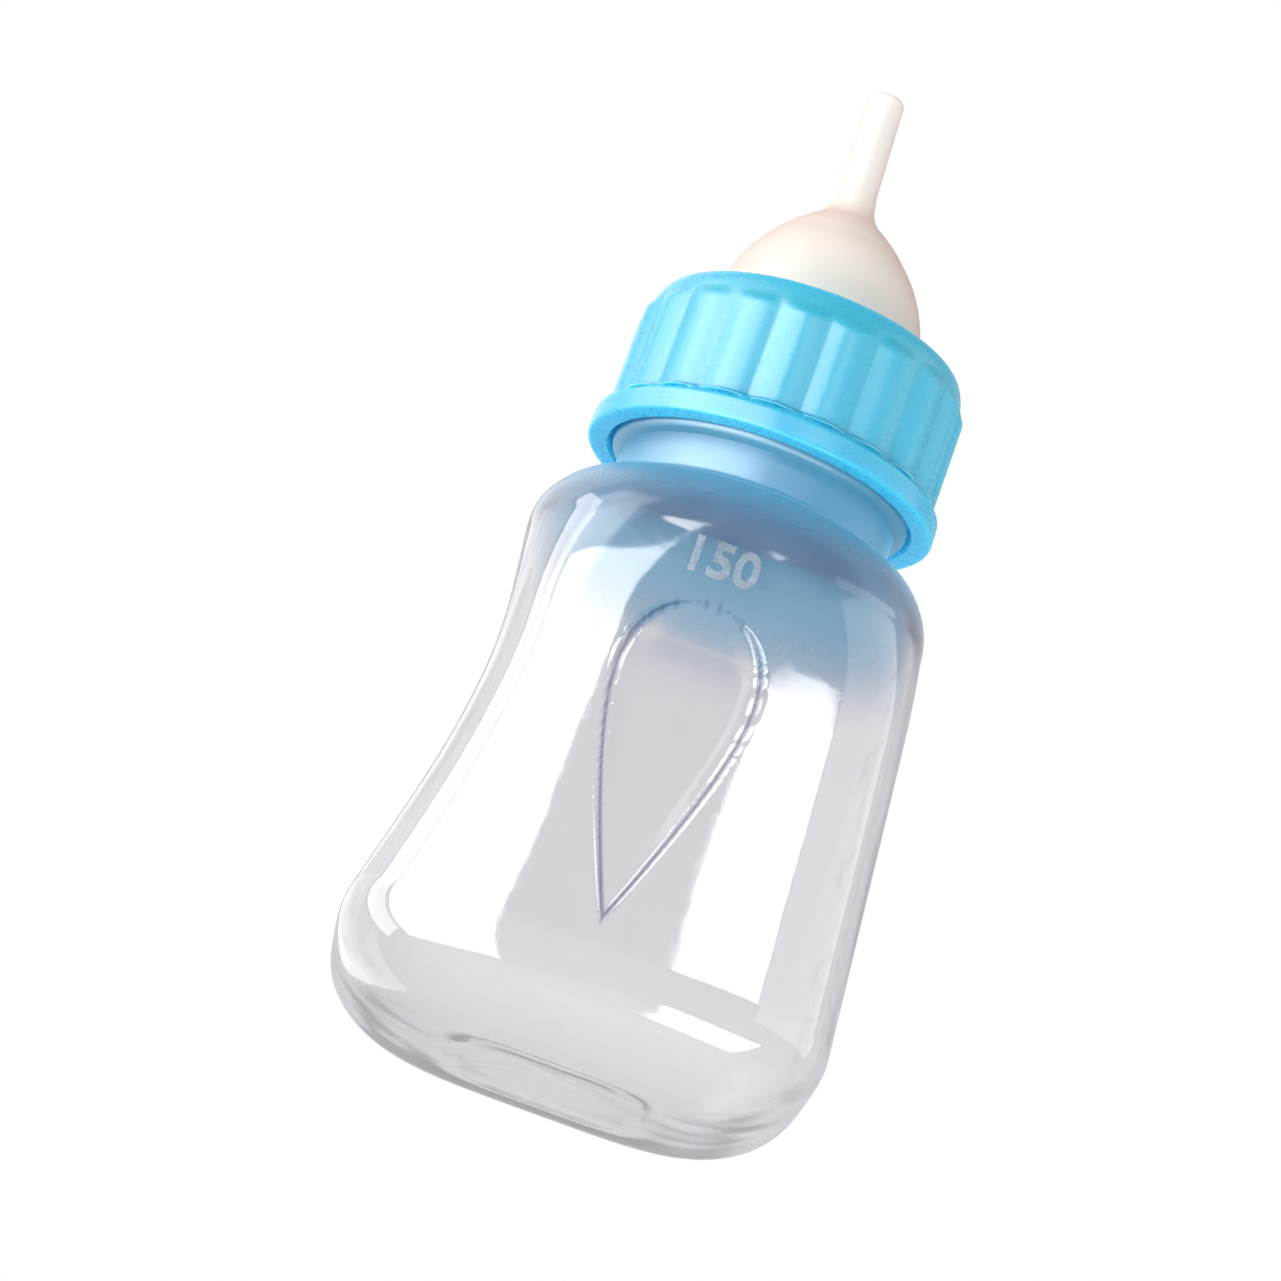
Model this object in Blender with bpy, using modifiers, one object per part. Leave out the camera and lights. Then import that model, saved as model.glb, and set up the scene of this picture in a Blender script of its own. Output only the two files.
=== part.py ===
"""Nursing bottle for young animals: a blow-moulded bottle, a ribbed screw ring and a soft long-tubed teat.

The bottle stands on the XY plane with its axis on Z. In plan it is a rounded square that grows round towards
the neck. A thumb dish is pressed into its front (-Y), and its left side (-X) is waisted for the fingers.
"""

import math

import bmesh
import bpy

MM = 0.001

# Heights above the table
HEEL_TOP = 10.6 * MM
SHOULDER_START = 60.1 * MM
SHOULDER_TOP = 69.7 * MM
RING_BOTTOM = 75.3 * MM
NECK_RIM = 90.5 * MM
TEAT_TIP = 127.8 * MM

# Bottle: half widths across the flats, or radii where it is round
FOOT_INNER = 11.0 * MM
FOOT_OUTER = 13.7 * MM
HEEL_HALF = 28.7 * MM
SHOULDER_HALF = 24.3 * MM
NECK_RADIUS = 16.8 * MM
NECK_BEAD = 18.1 * MM
NECK_BEAD_HEIGHT = 75.6 * MM
BOTTLE_WALL = 1.4 * MM
BASE_PUSH_UP = 1.5 * MM
BODY_SQUARENESS = 4.1
ROUND_TO_SQUARE = 21.6 * MM
BOTTLE_SEGMENTS = 56
FRONT_CROWDING = 0.35
SIDE_ROWS = 17

# Waist for the fingers, on the left side
WAIST_DEPTH = 3.7 * MM
WAIST_TOP = 64.0 * MM
WAIST_MIDDLE = 39.5 * MM
WAIST_BOTTOM = 6.8 * MM
WAIST_FULL_ANGLE = math.radians(32)
WAIST_END_ANGLE = math.radians(62)

# Thumb dish, in the front: an upside-down teardrop
DISH_DEPTH = 1.8 * MM
DISH_TOP = 51.3 * MM
DISH_BOTTOM = 13.0 * MM
DISH_HALF_WIDTH = 8.8 * MM
DISH_WALL = 1.8 * MM
DISH_TOP_RAMP = 0.12
DISH_BOTTOM_RAMP = 0.5

# Screw thread, right-handed: the ring's ridge runs just under the neck's ridge
THREAD_PITCH = 4.8 * MM
NECK_THREAD_RADIUS = 1.1 * MM
NECK_THREAD_LOW = 81.9 * MM
RING_THREAD_RADIUS = 0.95 * MM
RING_THREAD_DROP = 1.95 * MM
RING_THREAD_LEAD = 0.5
THREAD_TURNS = 1.25
POINTS_PER_TURN = 32
THREAD_TAPER_POINTS = 4

# Screw ring
RING_HEIGHT = 19.6 * MM
RING_FLANGE_RADIUS = 21.2 * MM
RING_FLANGE_HEIGHT = 2.9 * MM
RING_CORE_RADIUS = 19.45 * MM
RING_BORE = 18.5 * MM
RING_MOUTH = 18.8 * MM
RING_HOLE = 13.0 * MM
RING_PLATE = 1.8 * MM
RING_EDGE = 1.9 * MM
RING_BEVEL = 0.3 * MM
RING_SEGMENTS = 60
RIB_COUNT = 20
RIB_CREST = 20.1 * MM
RIB_VALLEY = 19.7 * MM
RIB_TOP = 17.2 * MM
POINTS_PER_RIB = 8

# Teat
GAP = 0.3 * MM
TEAT_FLANGE_RADIUS = 17.0 * MM
TEAT_FLANGE_THICKNESS = 2.0 * MM
TEAT_GROOVE = 12.6 * MM
TEAT_LIP = 13.2 * MM
TEAT_WALL = 1.5 * MM
DOME_CENTRE = 93.9 * MM
DOME_RADIUS = 12.9 * MM
DOME_HEIGHT = 16.6 * MM
TUBE_START = 114.6 * MM
TUBE_RADIUS = 2.25 * MM
TUBE_BORE = 1.2 * MM
FEED_HOLE = 0.5 * MM
LEAN_START = 96.0 * MM
TEAT_LEAN = 1.4 * MM
TEAT_SEGMENTS = 36


def clear_scene():
    for obj in list(bpy.data.objects):
        bpy.data.objects.remove(obj)


def new_collection(name):
    collection = bpy.data.collections.new(name)
    bpy.context.scene.collection.children.link(collection)
    return collection


def new_material(name, colour, roughness, alpha=1.0):
    """A plastic or rubber: a Principled BSDF of one colour, see-through where alpha is under 1."""
    material = bpy.data.materials.new(name)
    material.use_nodes = True
    shader = material.node_tree.nodes["Principled BSDF"]
    shader.inputs["Base Color"].default_value = (*colour, 1.0)
    shader.inputs["Roughness"].default_value = roughness
    shader.inputs["Metallic"].default_value = 0.0
    shader.inputs["Alpha"].default_value = alpha
    return material


def arc(centre, size, start, end, steps):
    """Points of an elliptical arc, as (radius, height), from start to end in degrees, ends included."""
    points = []
    for i in range(steps + 1):
        angle = math.radians(start + (end - start) * i / steps)
        points.append((centre[0] + size[0] * math.cos(angle), centre[1] + size[1] * math.sin(angle)))
    return points


def smooth_step(share):
    share = min(1.0, max(0.0, share))
    return share * share * (3 - 2 * share)


def set_shading(mesh):
    mesh.shade_smooth()
    mesh.set_sharp_from_angle(angle=math.radians(35))


def turned(name, profile, segments, closed, collection):
    """A profile of (radius, height) points spun round Z. It runs down its outer side."""
    edges = [(i, i + 1) for i in range(len(profile) - 1)]
    if closed:
        edges.append((len(profile) - 1, 0))
    mesh = bpy.data.meshes.new(name)
    mesh.from_pydata([(radius, 0.0, height) for radius, height in profile], edges, [])
    obj = bpy.data.objects.new(name, mesh)
    collection.objects.link(obj)
    screw = obj.modifiers.new("turn", "SCREW")
    screw.axis = "Z"
    screw.angle = 2 * math.pi
    screw.steps = segments
    screw.render_steps = segments
    screw.use_merge_vertices = True
    screw.merge_threshold = 0.001 * MM
    bake(obj)
    return obj


def bake(obj):
    """Puts an object's modifiers, or a curve's bevel, into a plain welded mesh."""
    bpy.context.view_layer.update()
    mesh = bpy.data.meshes.new_from_object(obj.evaluated_get(bpy.context.evaluated_depsgraph_get()))
    mesh.name = obj.name
    bm = bmesh.new()
    bm.from_mesh(mesh)
    bmesh.ops.remove_doubles(bm, verts=bm.verts, dist=0.001 * MM)
    bm.to_mesh(mesh)
    bm.free()
    obj.modifiers.clear()
    obj.data = mesh


def as_helper(obj):
    """Marks an object that only joins another."""
    obj.hide_render = True
    obj.display_type = "WIRE"
    return obj


def join(obj, helper):
    """A Boolean union of obj with a helper."""
    modifier = obj.modifiers.new("join_" + helper.name, "BOOLEAN")
    modifier.operation = "UNION"
    modifier.solver = "EXACT"
    modifier.object = helper


def add_thread(name, centre_radius, section, low, start_angle, collection):
    """A helper: a round-sectioned ridge on a right-handed helix, tapered at both ends."""
    count = round(THREAD_TURNS * POINTS_PER_TURN)
    curve = bpy.data.curves.new(name, "CURVE")
    curve.dimensions = "3D"
    curve.bevel_depth = section
    curve.bevel_resolution = 1
    curve.use_fill_caps = True
    spline = curve.splines.new("POLY")
    spline.points.add(count)
    for i, point in enumerate(spline.points):
        turn = i / POINTS_PER_TURN
        angle = start_angle + turn * 2 * math.pi
        x = centre_radius * math.cos(angle)
        y = centre_radius * math.sin(angle)
        point.co = (x, y, low + turn * THREAD_PITCH, 1.0)
        from_end = min(i, count - i)
        point.radius = min(1.0, 0.35 + 0.65 * from_end / THREAD_TAPER_POINTS)
    source = bpy.data.objects.new(name + "_path", curve)
    collection.objects.link(source)
    bpy.context.view_layer.update()
    mesh = bpy.data.meshes.new_from_object(source.evaluated_get(bpy.context.evaluated_depsgraph_get()))
    thread = bpy.data.objects.new(name, mesh)
    thread.matrix_world = source.matrix_world
    bpy.data.objects.remove(source)
    collection.objects.link(thread)
    bake(thread)
    return as_helper(thread)


def bottle_profile():
    """The bottle's outer outline, from the rim of its neck down to the middle of its base."""
    root = NECK_RADIUS - 0.2 * MM
    bead = arc((root, NECK_BEAD_HEIGHT), (NECK_BEAD - root, 1.3 * MM), 80, -80, 4)
    neck = [(NECK_RADIUS, NECK_RIM), (NECK_RADIUS, 83.5 * MM), (NECK_RADIUS, 77.6 * MM)] + bead
    neck += [(NECK_RADIUS, 73.4 * MM), (NECK_RADIUS + 0.1 * MM, SHOULDER_TOP + 0.4 * MM)]
    foot = NECK_RADIUS + 0.4 * MM
    shoulder = arc(
        (foot, SHOULDER_START), (SHOULDER_HALF - foot, SHOULDER_TOP - SHOULDER_START), 84, 0, 6
    )
    side = []
    for i in range(1, SIDE_ROWS):
        share = i / SIDE_ROWS
        radius = SHOULDER_HALF + (HEEL_HALF - SHOULDER_HALF) * share
        side.append((radius, SHOULDER_START + (HEEL_TOP - SHOULDER_START) * share))
    heel = arc((FOOT_OUTER, HEEL_TOP), (HEEL_HALF - FOOT_OUTER, HEEL_TOP), 0, -90, 7)
    base = []
    for share in (1.0, 0.8, 0.6, 0.35, 0.0):
        base.append((FOOT_INNER * share, BASE_PUSH_UP * (1 - share * share)))
    return neck + shoulder + side + heel + base


def squareness(height):
    """The exponent of the bottle's superellipse section: 2 is round, and it grows below the neck."""
    return 2.0 + (BODY_SQUARENESS - 2.0) * smooth_step((SHOULDER_TOP - height) / ROUND_TO_SQUARE)


def waist_depth(angle, height):
    """How far the left side is pressed in: its full depth across the side, fading round both corners."""
    if height >= WAIST_MIDDLE:
        share = (WAIST_TOP - height) / (WAIST_TOP - WAIST_MIDDLE)
    else:
        share = (height - WAIST_BOTTOM) / (WAIST_MIDDLE - WAIST_BOTTOM)
    if share <= 0:
        return 0.0
    off = abs(math.remainder(angle - math.pi, 2 * math.pi))
    across = smooth_step((WAIST_END_ANGLE - off) / (WAIST_END_ANGLE - WAIST_FULL_ANGLE))
    return WAIST_DEPTH * across * math.sin(0.5 * math.pi * share) ** 1.3


def dish_depth(x, height):
    """How deep the thumb dish is: its outline is a teardrop, round at the top and pointed at the bottom. Its floor
    is flat from side to side and ramps up to the surface at both ends, inside a steep wall."""
    share = (height - DISH_BOTTOM) / (DISH_TOP - DISH_BOTTOM)
    if not 0 < share < 1:
        return 0.0
    half_width = DISH_HALF_WIDTH * math.sqrt(share * share * (1 - share) * 27 / 4)
    wall = smooth_step((half_width - abs(x)) / DISH_WALL)
    ramp = smooth_step((1 - share) / DISH_TOP_RAMP) * min(1.0, share / DISH_BOTTOM_RAMP)
    return DISH_DEPTH * wall * ramp


def shape_bottle(mesh):
    """Turns the round bottle into a rounded square, waists its left side and dishes its front.

    The columns of vertices are first crowded towards the front, where the dish needs them.
    """
    for vertex in mesh.vertices:
        x, y, z = vertex.co
        radius = math.hypot(x, y)
        if radius < 0.001 * MM:
            continue
        angle = math.atan2(y, x)
        angle -= FRONT_CROWDING * math.cos(angle)
        power = squareness(z)
        across = abs(math.cos(angle)) ** power + abs(math.sin(angle)) ** power
        radius = radius * across ** (-1.0 / power) - waist_depth(angle, z)
        x = radius * math.cos(angle)
        y = radius * math.sin(angle)
        if y < 0:
            y += dish_depth(x, z)
        vertex.co = (x, y, z)


def add_bottle(parts, helpers):
    """The bottle: one thin wall, open at the neck, with the thread's ridge on the outside of the neck."""
    bottle = turned("bottle", bottle_profile(), BOTTLE_SEGMENTS, False, parts)
    shape_bottle(bottle.data)
    set_shading(bottle.data)
    bottle.data.materials.append(new_material("clear_polypropylene", (0.86, 0.89, 0.93), 0.08, alpha=0.4))
    wall = bottle.modifiers.new("wall", "SOLIDIFY")
    wall.thickness = BOTTLE_WALL
    wall.offset = -1.0
    wall.use_even_offset = True
    join(bottle, add_thread("neck_thread", NECK_RADIUS, NECK_THREAD_RADIUS, NECK_THREAD_LOW, 0.0, helpers))


def ring_section():
    """The ring's section: a plate with the teat's hole, and a skirt with a flange at its foot."""
    low = RING_BOTTOM
    top = low + RING_HEIGHT
    under = top - RING_PLATE
    shelf = low + RING_FLANGE_HEIGHT
    bevel = RING_BEVEL
    section = [(RING_HOLE, under), (RING_HOLE, top - bevel), (RING_HOLE + bevel, top)]
    section += arc((RING_CORE_RADIUS - RING_EDGE, top - RING_EDGE), (RING_EDGE, RING_EDGE), 90, 0, 4)
    section += [(RING_CORE_RADIUS, shelf), (RING_FLANGE_RADIUS - bevel, shelf)]
    section += [(RING_FLANGE_RADIUS, shelf - bevel), (RING_FLANGE_RADIUS, low + bevel)]
    section += [(RING_FLANGE_RADIUS - bevel, low), (RING_MOUTH, low), (RING_BORE, low + 0.5 * MM)]
    section += [(RING_BORE, under - bevel), (RING_BORE - bevel, under)]
    return section


def rib_radius(angle):
    """The barrel's outer radius: broad rounded lands with narrower grooves between them."""
    wave = 0.5 + 0.5 * math.cos(RIB_COUNT * angle)
    return RIB_VALLEY + (RIB_CREST - RIB_VALLEY) * wave**0.6


def add_ribs(helpers):
    """A helper: a sleeve whose outside is ribbed and whose inside lies within the ring's wall."""
    inner = 0.5 * (RING_BORE + RING_CORE_RADIUS)
    low = RING_BOTTOM + RING_FLANGE_HEIGHT - 0.5 * MM
    high = RING_BOTTOM + RIB_TOP
    section = [(inner, high), (RIB_CREST - 0.5 * MM, high), (RIB_CREST, high - 0.5 * MM)]
    section += [(RIB_CREST, low), (inner, low)]
    ribs = turned("ring_ribs", section, RIB_COUNT * POINTS_PER_RIB, True, helpers)
    for vertex in ribs.data.vertices:
        radius = math.hypot(vertex.co.x, vertex.co.y)
        if radius > RING_CORE_RADIUS:
            scale = 1 + (rib_radius(math.atan2(vertex.co.y, vertex.co.x)) - RIB_CREST) / radius
            vertex.co.x *= scale
            vertex.co.y *= scale
    return as_helper(ribs)


def add_ring(parts, helpers):
    """The screw ring: a turned skirt and plate, with ribs outside and the thread's ridge inside."""
    ring = turned("screw_ring", ring_section(), RING_SEGMENTS, True, parts)
    set_shading(ring.data)
    ring.data.materials.append(new_material("blue_polypropylene", (0.12, 0.52, 0.72), 0.25))
    join(ring, add_ribs(helpers))
    low = NECK_THREAD_LOW - RING_THREAD_DROP - RING_THREAD_LEAD * THREAD_PITCH
    start = -RING_THREAD_LEAD * 2 * math.pi
    join(ring, add_thread("ring_thread", RING_BORE - 0.3 * MM, RING_THREAD_RADIUS, low, start, helpers))


def teat_section():
    """The teat's section: down the tube, dome, groove for the ring's plate and flange, then up inside."""
    flange_low = NECK_RIM + GAP
    flange_top = flange_low + TEAT_FLANGE_THICKNESS
    groove_top = RING_BOTTOM + RING_HEIGHT + GAP
    tube = [(FEED_HOLE, TEAT_TIP), (TUBE_RADIUS - 0.5 * MM, TEAT_TIP), (TUBE_RADIUS, TEAT_TIP - 0.6 * MM)]
    tube += [(TUBE_RADIUS, 121.0 * MM), (TUBE_RADIUS, TUBE_START)]
    blend = [(2.65 * MM, 112.6 * MM), (3.6 * MM, 111.0 * MM), (5.2 * MM, 109.8 * MM)]
    dome = arc((0.0, DOME_CENTRE), (DOME_RADIUS, DOME_HEIGHT), 60, 12, 7)
    foot = [(TEAT_LIP, groove_top + 0.5 * MM), (TEAT_GROOVE, groove_top), (TEAT_GROOVE, flange_top)]
    foot += [(TEAT_FLANGE_RADIUS, flange_top), (TEAT_FLANGE_RADIUS, flange_low)]
    inner_size = (DOME_RADIUS - TEAT_WALL, DOME_HEIGHT - TEAT_WALL)
    inside = [(TEAT_GROOVE - TEAT_WALL, flange_low), (TEAT_GROOVE - TEAT_WALL, flange_top)]
    inside += arc((0.0, DOME_CENTRE), inner_size, 6, 70, 7)
    inside += [(2.2 * MM, 109.6 * MM), (TUBE_BORE + 0.2 * MM, 111.6 * MM), (TUBE_BORE, TUBE_START)]
    inside += [(TUBE_BORE, TEAT_TIP - 2.0 * MM), (FEED_HOLE, TEAT_TIP - 1.2 * MM)]
    return tube + blend + dome + foot + inside


def add_teat(parts):
    """The teat, one soft moulding, whose tube leans a little to the left."""
    teat = turned("teat", teat_section(), TEAT_SEGMENTS, True, parts)
    for vertex in teat.data.vertices:
        share = max(0.0, (vertex.co.z - LEAN_START) / (TEAT_TIP - LEAN_START))
        vertex.co.x -= TEAT_LEAN * share**1.1
    set_shading(teat.data)
    teat.data.materials.append(new_material("milky_silicone", (0.93, 0.91, 0.86), 0.4))


def main():
    clear_scene()
    parts = new_collection("nursing_bottle")
    helpers = new_collection("helpers")
    add_bottle(parts, helpers)
    add_ring(parts, helpers)
    add_teat(parts)


main()
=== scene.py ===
"""Nursing bottle for young animals, finished: a milky-clear blow-moulded bottle, a glossy light blue screw
ring and a soft off-white teat, in a bright studio.

Lengths are in metres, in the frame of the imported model: the bottle stands on Z = 0 with its axis on Z, its
front is -Y, and its waisted side is -X.
"""

import math

import bmesh
import bpy
import numpy as np
from mathutils import Matrix, Vector


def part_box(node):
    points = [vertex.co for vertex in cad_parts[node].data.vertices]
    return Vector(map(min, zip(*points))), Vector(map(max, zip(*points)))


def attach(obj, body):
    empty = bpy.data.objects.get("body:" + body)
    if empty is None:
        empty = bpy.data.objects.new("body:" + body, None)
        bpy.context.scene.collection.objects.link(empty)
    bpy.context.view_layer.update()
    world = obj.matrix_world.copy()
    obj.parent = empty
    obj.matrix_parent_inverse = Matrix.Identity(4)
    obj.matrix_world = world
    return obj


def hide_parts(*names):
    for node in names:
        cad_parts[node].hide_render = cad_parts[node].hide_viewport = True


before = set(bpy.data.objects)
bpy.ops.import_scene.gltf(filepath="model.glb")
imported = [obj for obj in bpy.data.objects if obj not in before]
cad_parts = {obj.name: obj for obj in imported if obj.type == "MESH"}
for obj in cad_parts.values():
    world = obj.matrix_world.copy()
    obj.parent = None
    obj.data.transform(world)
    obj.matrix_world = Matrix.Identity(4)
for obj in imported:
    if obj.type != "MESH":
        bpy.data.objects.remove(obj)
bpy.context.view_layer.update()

MM = 0.001
TURN = 2 * np.pi

# Overall sizes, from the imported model
bottle_low, bottle_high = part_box("bottle")
ring_low, ring_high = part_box("screw_ring")
teat_low, teat_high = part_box("teat")
HEEL_HALF = bottle_high.x
NECK_RIM = bottle_high.z
RING_BOTTOM = ring_low.z
RING_TOP = ring_high.z
RING_FLANGE_RADIUS = ring_high.x
TEAT_FLANGE_RADIUS = teat_high.x
TEAT_FLANGE_LOW = teat_low.z
TEAT_TIP = teat_high.z

# Bottle body
HEEL_TOP = 10.6 * MM
SHOULDER_START = RING_BOTTOM - 15.2 * MM
SHOULDER_TOP = RING_BOTTOM - 5.6 * MM
FOOT_INNER = 11.0 * MM
FOOT_OUTER = 13.7 * MM
SHOULDER_HALF = HEEL_HALF - 4.4 * MM
SECTION_FILL = 0.92  # the share of its square that the body's section fills
BASE_PUSH_UP = 1.5 * MM
BODY_SQUARENESS = 4.1
ROUND_TO_SQUARE = 21.6 * MM
WALL = 1.0 * MM
HEEL_THICKENING = 0.7 * MM
HEEL_THICK_HEIGHT = 3.2 * MM
BOTTLE_COLUMNS = 224
FRONT_CROWDING = 0.78

# Bottle neck
NECK_RADIUS = 16.8 * MM
SHOULDER_ROOT = NECK_RADIUS + 0.4 * MM
NECK_FILLET = 0.9 * MM
NECK_BEAD = 1.3 * MM
NECK_BEAD_HEIGHT = RING_BOTTOM + 0.3 * MM
NECK_WALL = 1.4 * MM
RIM_ROUND = 0.35 * MM

# Grips
WAIST_DEPTH = 3.7 * MM
WAIST_TOP = 64.0 * MM
WAIST_MIDDLE = 39.5 * MM
WAIST_BOTTOM = 6.3 * MM
WAIST_FULL_ANGLE = math.radians(32)
WAIST_END_ANGLE = math.radians(62)
DISH_DEPTH = 0.9 * MM
DISH_TOP = 52.4 * MM
DISH_BOTTOM = 13.0 * MM
DISH_MIDDLE = -0.7 * MM
DISH_HALF_WIDTH = 8.5 * MM
DISH_WALL = 0.9 * MM
DISH_WALL_INSIDE = 3.4 * MM
DISH_TOP_RAMP = 0.13
DISH_BOTTOM_RAMP = 0.5

# Thread
THREAD_PITCH = 4.8 * MM
THREAD_TURNS = 1.25
THREAD_TAPER = 0.125
NECK_THREAD_SECTION = 1.1 * MM
NECK_THREAD_LOW = NECK_RIM - 8.6 * MM
RING_THREAD_SECTION = 0.95 * MM
RING_THREAD_DROP = 1.95 * MM
RING_THREAD_LEAD = 0.5

# Screw ring
RING_FLANGE_HEIGHT = 2.9 * MM
RING_CORE = 19.45 * MM
RING_BORE = 18.5 * MM
RING_MOUTH = 18.8 * MM
RING_HOLE = 13.0 * MM
RING_PLATE = 1.8 * MM
RING_EDGE = 1.9 * MM
RING_EDGE_DROP = 4.5 * MM
RIB_COUNT = 20
RIB_HEIGHT = 0.62 * MM
RIB_TOP = RING_BOTTOM + 17.0 * MM
RIB_PHASE = math.radians(-6)
RING_COLUMNS = 720

# Teat
TEAT_FLANGE_THICKNESS = 2.0 * MM
TEAT_GROOVE = 12.6 * MM
TEAT_LIP = 13.2 * MM
TEAT_WALL = 1.5 * MM
DOME_CENTRE = 93.9 * MM
DOME_RADIUS = 12.9 * MM
DOME_HEIGHT = 16.6 * MM
TUBE_START = 114.6 * MM
TUBE_RADIUS = 2.25 * MM
TUBE_BORE = 1.2 * MM
FEED_HOLE = 0.5 * MM
LEAN_START = 96.0 * MM
TEAT_LEAN = 1.4 * MM
TEAT_COLUMNS = 128

# Marks moulded on the bottle: one numeral in front, and a volume scale in millilitres on the right side
FRONT_NUMERAL = "150"
FRONT_NUMERAL_SIZE = 6.0 * MM
FRONT_NUMERAL_HEIGHT = 57.3 * MM
FRONT_NUMERAL_ACROSS = -1.5 * MM
FRONT_NUMERAL_PROUD = 0.35 * MM
SCALE_VOLUMES = np.arange(40, 140, 10)
NUMBERED_EVERY = 30
LONG_LINE = 9.0 * MM
SHORT_LINE = 5.0 * MM
LINE_THICK = 0.55 * MM
LINE_PROUD = 0.28 * MM
SCALE_NUMERAL_SIZE = 4.2 * MM
SCALE_NUMERAL_ACROSS = 8.5 * MM
SCALE_NUMERAL_PROUD = 0.25 * MM

# Camera
CAMERA_AIM = Vector((-7.0 * MM, 6.2 * MM, RING_BOTTOM - 20.1 * MM))
CAMERA_DISTANCE = 572 * MM
CAMERA_LOOKS_UP = math.radians(17.1)
CAMERA_ROLL = math.radians(20.0)
CAMERA_LENS = 137.5

# The bottle's plastic: how clear it is, how much less the neck is, the roughness that blurs what shows
# through the neck and the dish's wall, the heights over which painted shade greys the wall, and those over
# which the neck clouds and is painted the ring's blue, a painted reflection
CLEARNESS = 0.93
NECK_MILK = 0.32
NECK_FROST = 0.36
DISH_WALL_FROST = 0.3
PAINTED_SHADE_HEIGHTS = (56 * MM, 67 * MM)
NECK_CLOUD_AND_PAINTED_BLUE_HEIGHTS = (59 * MM, 70 * MM)

# Studio: how far off the lamps stand, the height they aim at, the floor, and the room's light, as sRGB
PANEL_DISTANCE = 0.75
KEY_DISTANCE = 1.0
LAMPS_AIM = 40 * MM
FLOOR_HALF = 6.0
FLOOR_HEIGHT = -1.6
ROOM_LIGHT_BELOW = 0.15
ROOM_DARK_ABOVE = 0.42
ROOM_BACK = "#CFCED3"
ROOM_LOW = "#D2D1D5"
ROOM_HIGH = "#85858F"
FILL_LIGHT = "#D6D6D9"


# Meshes


def surface(name, points, closed_section=False):
    """A mesh from a grid of points, rows by columns. The columns go round Z and close. The rows close too
    on a closed section; otherwise the first and the last row are each a single point, a pole, closed by a
    fan of triangles."""
    rows, columns = points.shape[:2]
    index = np.arange(rows * columns).reshape(rows, columns)
    across = np.roll(index, -1, axis=1)
    if closed_section:
        nexts, next_across = np.roll(index, -1, axis=0), np.roll(across, -1, axis=0)
        quads = np.stack([index, across, next_across, nexts], axis=-1).reshape(-1, 4)
        coordinates, fans = points.reshape(-1, 3), np.zeros((0, 3), int)
    else:
        body = slice(1, rows - 2)
        shift = slice(2, rows - 1)
        quads = np.stack([index[body], across[body], across[shift], index[shift]], axis=-1).reshape(-1, 4)
        first, last = index[0, 0], index[-1, 0]
        low = np.stack([np.full(columns, first), across[1], index[1]], axis=-1)
        high = np.stack([np.full(columns, last), index[-2], across[-2]], axis=-1)
        fans = np.concatenate([low, high])
        coordinates = points.reshape(-1, 3)
    return mesh_object(name, coordinates, quads, fans)


def mesh_object(name, coordinates, quads, triangles):
    """An object of these vertices, quads and triangles, smooth but for edges sharper than 40 degrees."""
    mesh = bpy.data.meshes.new(name)
    corners = np.concatenate([quads.ravel(), triangles.ravel()])
    used, corners = np.unique(corners, return_inverse=True)
    mesh.vertices.add(len(used))
    mesh.vertices.foreach_set("co", coordinates[used].astype(np.float32).ravel())
    mesh.loops.add(len(corners))
    mesh.loops.foreach_set("vertex_index", corners.astype(np.int32))
    sizes = np.concatenate([np.full(len(quads), 4), np.full(len(triangles), 3)])
    mesh.polygons.add(len(sizes))
    mesh.polygons.foreach_set("loop_start", (np.cumsum(sizes) - sizes).astype(np.int32))
    mesh.update(calc_edges=True)
    mesh.validate()
    mesh.shade_smooth()
    mesh.set_sharp_from_angle(angle=math.radians(40))
    obj = bpy.data.objects.new(name, mesh)
    bpy.context.scene.collection.objects.link(obj)
    return obj


def line(start, end, count):
    """Points evenly along a straight line, without its end."""
    return np.linspace(start, end, count, endpoint=False)


def arc(centre, size, start, end, count):
    """Points evenly in angle along an elliptical arc of (radius, height), in degrees, without its end."""
    angle = np.radians(np.linspace(start, end, count, endpoint=False))
    return np.stack([centre[0] + size[0] * np.cos(angle), centre[1] + size[1] * np.sin(angle)], axis=-1)


def columns_round(count, front_crowding=0.0):
    """Angles round Z, evenly, or crowded towards the front, where the dish needs finer columns."""
    even = np.linspace(0, TURN, count, endpoint=False)
    return even - front_crowding * np.cos(even)


def smooth_step(share):
    """Eases a share, held to between 0 and 1: three times its square less twice its cube."""
    share = np.clip(share, 0, 1)
    return share * share * (3 - 2 * share)


def turned_grid(outline, angles):
    """The outline, a list of (radius, height), turned round Z: rows follow it, and columns the angle."""
    radius, height = outline[:, :1], outline[:, 1:]
    heights = np.broadcast_to(height, (len(outline), len(angles)))
    return np.stack([radius * np.cos(angles), radius * np.sin(angles), heights], axis=-1)


def thread_section(angles, height, low, start_turn, section):
    """The half-thickness of a helical ridge at each angle and height: at height h over the helix's centre
    line it is the root of section squared less h squared, and section shrinks to a third over the first
    and the last eighth of a turn."""
    found = np.zeros(np.broadcast(angles, height).shape)
    for turn in (-1, 0, 1):
        along = angles / TURN + turn - start_turn
        centre = low + along * THREAD_PITCH
        from_end = np.minimum(along, THREAD_TURNS - along)
        size = section * np.clip(0.35 + 0.65 * from_end / THREAD_TAPER, 0, 1) * (from_end >= 0)
        found = np.maximum(found, np.sqrt(np.maximum(size**2 - (height - centre) ** 2, 0)))
    return found


# Bottle


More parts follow.
